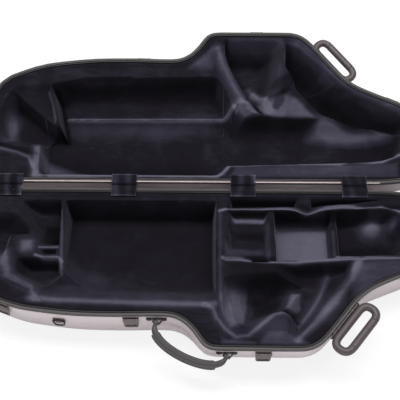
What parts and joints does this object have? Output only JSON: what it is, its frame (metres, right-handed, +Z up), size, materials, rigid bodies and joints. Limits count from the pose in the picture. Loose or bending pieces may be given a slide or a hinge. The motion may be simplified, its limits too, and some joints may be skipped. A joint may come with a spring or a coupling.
{
  "type": "baritone saxophone case",
  "caption": "Open moulded instrument case with a bell-shaped bulge, plush linings with fitted pockets, a hinged lid, flap latches, a carry handle, side handles and strap rings.",
  "frame": {"origin": "on the base's flat back, at the middle of the case's length and of its width at the bell", "axes": "+X along the case from the crook end to the bow end, +Y from the latches to the hinges, +Z up out of the base"},
  "size_m": [1.2202, 0.9533, 0.2338],
  "materials": {
    "silver_shell": "moulded fibreglass with a fine pinkish silver lacquer",
    "rim_trim": "dark grey brown coated aluminium extrusion",
    "seal_rubber": "matt black",
    "plush": "very dark navy purple short pile plush over moulded foam",
    "latch_metal": "satin grey brown coating",
    "bright_steel": "plain bright steel",
    "ring_steel": "black coated steel wire",
    "dark_steel": "dark plated steel",
    "handle_leather": "matt padded imitation leather with stitching",
    "handle_plastic": "satin dark grey brown moulding"
  },
  "bodies": {
    "base": {"base_lining_bell_end": "plush", "base_lining_crook_end": "plush", "base_lining_trough": "plush", "base_rim_trim": "rim_trim", "base_shell": "silver_shell", "base_side_handle_loop": "handle_plastic", "base_side_handle_plate": "handle_plastic", "handle_bracket_left": "latch_metal", "handle_bracket_right": "latch_metal", "handle_pin_left": "dark_steel", "handle_pin_right": "dark_steel", "hinge_1_base_leaf": "bright_steel", "hinge_1_cover": "plush", "hinge_1_pin": "dark_steel", "hinge_2_base_leaf": "bright_steel", "hinge_2_cover": "plush", "hinge_2_pin": "dark_steel", "hinge_3_base_leaf": "bright_steel", "hinge_3_cover": "plush", "hinge_3_pin": "dark_steel", "hinge_4_base_leaf": "bright_steel", "hinge_4_cover": "plush", "hinge_4_pin": "dark_steel", "latch_1_pin": "dark_steel", "latch_1_plate": "latch_metal", "latch_2_pin": "dark_steel", "latch_2_plate": "latch_metal", "latch_3_pin": "dark_steel", "latch_3_plate": "latch_metal", "latch_4_pin": "dark_steel", "latch_4_plate": "latch_metal", "strap_lug_1": "latch_metal", "strap_lug_2": "latch_metal"},
    "lid": {"hinge_1_lid_leaf": "bright_steel", "hinge_2_lid_leaf": "bright_steel", "hinge_3_lid_leaf": "bright_steel", "hinge_4_lid_leaf": "bright_steel", "latch_1_keeper": "latch_metal", "latch_2_keeper": "latch_metal", "latch_3_keeper": "latch_metal", "latch_4_keeper": "latch_metal", "lid_lining_bell_end": "plush", "lid_lining_crook_end": "plush", "lid_lining_trough": "plush", "lid_rim_seal": "seal_rubber", "lid_rim_trim": "rim_trim", "lid_shell": "silver_shell", "lid_side_handle_loop": "handle_plastic", "lid_side_handle_plate": "handle_plastic"},
    "latch_1": {"latch_1_lever": "latch_metal"},
    "latch_2": {"latch_2_lever": "latch_metal"},
    "latch_3": {"latch_3_lever": "latch_metal"},
    "latch_4": {"latch_4_lever": "latch_metal"},
    "carry_handle": {"carry_handle_strap": "handle_leather", "carry_handle_grip": "handle_leather"},
    "strap_ring_1": {"strap_ring_1": "ring_steel"},
    "strap_ring_2": {"strap_ring_2": "ring_steel"}
  },
  "joints": [
    {"name": "lid_hinge", "type": "hinge", "parent": "base", "child": "lid", "pos_m": [0, 0.235, 0.115], "axis": [1, 0, 0], "range_deg": [0, 165], "deforming": ["hinge_1_cover", "hinge_2_cover", "hinge_3_cover", "hinge_4_cover"]},
    {"name": "latch_1_hinge", "type": "hinge", "parent": "base", "child": "latch_1", "pos_m": [-0.50604, -0.11408, 0.1005], "axis": [-0.9361, 0.3518, 0], "range_deg": [0, 180]},
    {"name": "latch_2_hinge", "type": "hinge", "parent": "base", "child": "latch_2", "pos_m": [-0.19093, -0.14671, 0.1005], "axis": [-0.9998, -0.0199, 0], "range_deg": [0, 180]},
    {"name": "latch_3_hinge", "type": "hinge", "parent": "base", "child": "latch_3", "pos_m": [0.12346, -0.2312, 0.1005], "axis": [-1, 0, 0], "range_deg": [0, 180]},
    {"name": "latch_4_hinge", "type": "hinge", "parent": "base", "child": "latch_4", "pos_m": [0.49239, -0.02402, 0.1005], "axis": [-0.9194, -0.3934, 0], "range_deg": [0, 180]},
    {"name": "carry_handle_hinge", "type": "hinge", "parent": "base", "child": "carry_handle", "pos_m": [-0.13017, -0.14823, 0.09325], "axis": [-0.8932, 0.4497, 0], "range_deg": [-45, 60]},
    {"name": "strap_ring_1_hinge", "type": "hinge", "parent": "base", "child": "strap_ring_1", "pos_m": [-0.36776, -0.13775, 0.073], "axis": [-0.9942, 0.1072, 0], "range_deg": [0, 110]},
    {"name": "strap_ring_2_hinge", "type": "hinge", "parent": "base", "child": "strap_ring_2", "pos_m": [0.54175, 0.00585, 0.073], "axis": [-0.8646, -0.5024, 0], "range_deg": [0, 110]}
  ]
}
